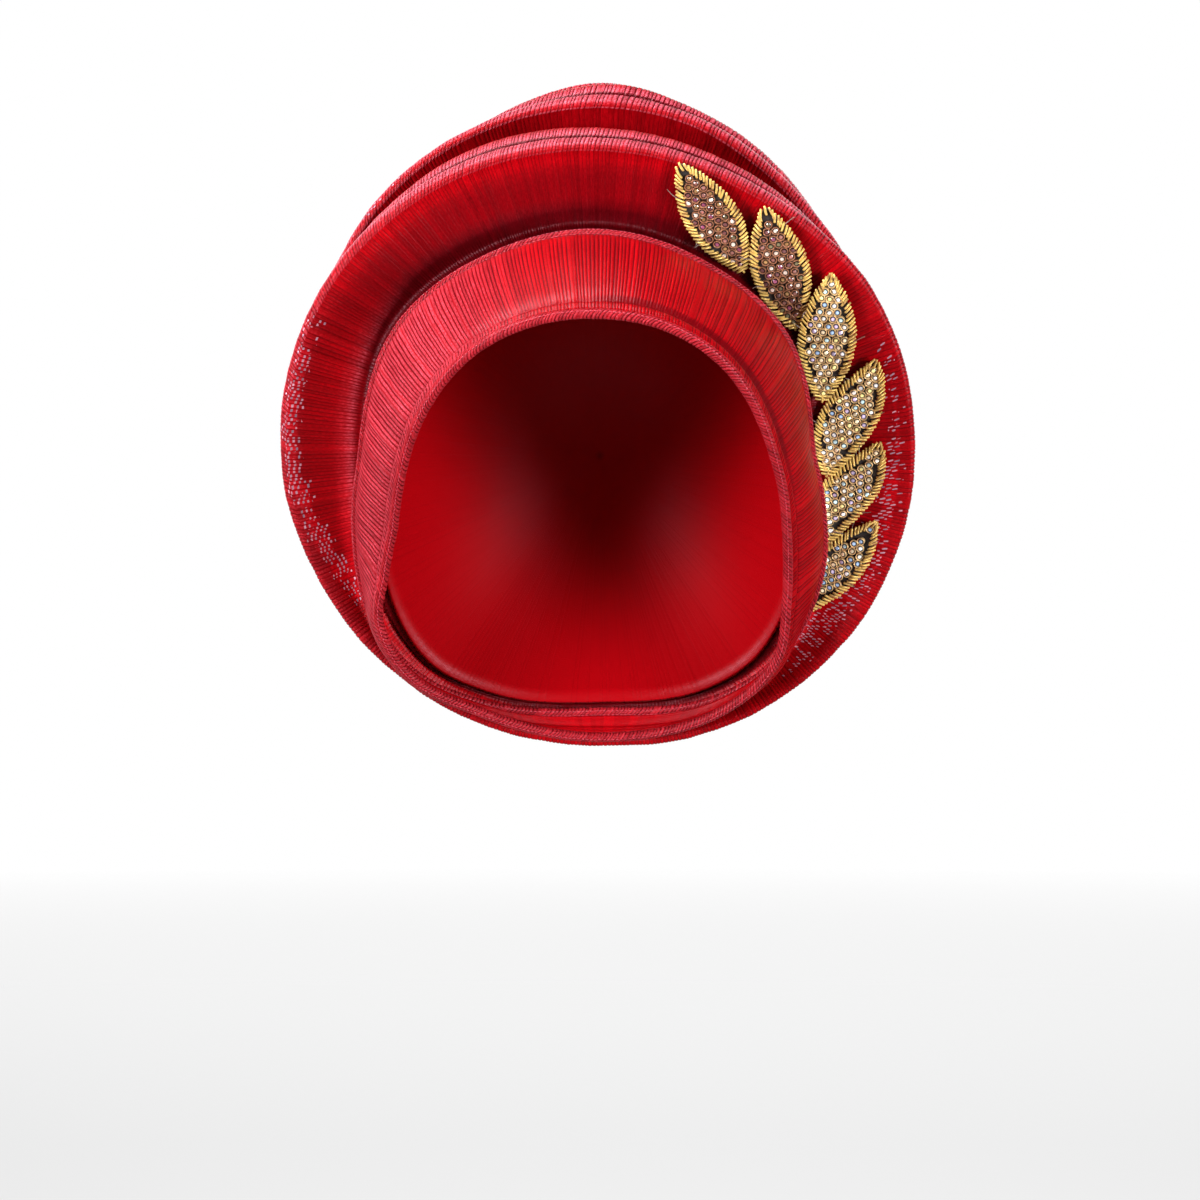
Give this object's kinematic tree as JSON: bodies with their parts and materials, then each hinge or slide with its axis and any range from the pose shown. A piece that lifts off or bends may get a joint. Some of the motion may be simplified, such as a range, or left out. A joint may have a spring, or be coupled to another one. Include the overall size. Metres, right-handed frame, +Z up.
{
  "type": "gele head tie",
  "caption": "Ready-tied pleated head wrap: piped front band over a cap, stiff fans standing round it and gold-edged beaded leaves down one side.",
  "frame": {"origin": "where the crown rests on top of the wearer's head, inside the cap", "axes": "+Z up, the face opening looks along -Y, the nape is at +Y, and +X is on the right of someone who looks at the face"},
  "size_m": [0.2405, 0.1828, 0.256],
  "materials": {
    "cloth": "finely pleated red cloth with a silky sheen and silver speckles",
    "piping": "tightly rolled and ribbed red cloth",
    "stones": "bright cut crystal in metal cups on dark cloth",
    "gold_border": "gold bullion wire, polished"
  },
  "bodies": {
    "root": {"face_piping": "piping", "front_band": "cloth", "band_piping": "piping", "crown_cap": "cloth", "front_fan": "cloth", "middle_fan": "cloth", "rear_fan": "cloth", "leaf_1_stones": "stones", "leaf_1_border": "gold_border", "leaf_2_stones": "stones", "leaf_2_border": "gold_border", "leaf_3_stones": "stones", "leaf_3_border": "gold_border", "leaf_4_stones": "stones", "leaf_4_border": "gold_border", "leaf_5_stones": "stones", "leaf_5_border": "gold_border", "leaf_6_stones": "stones", "leaf_6_border": "gold_border"}
  },
  "joints": []
}
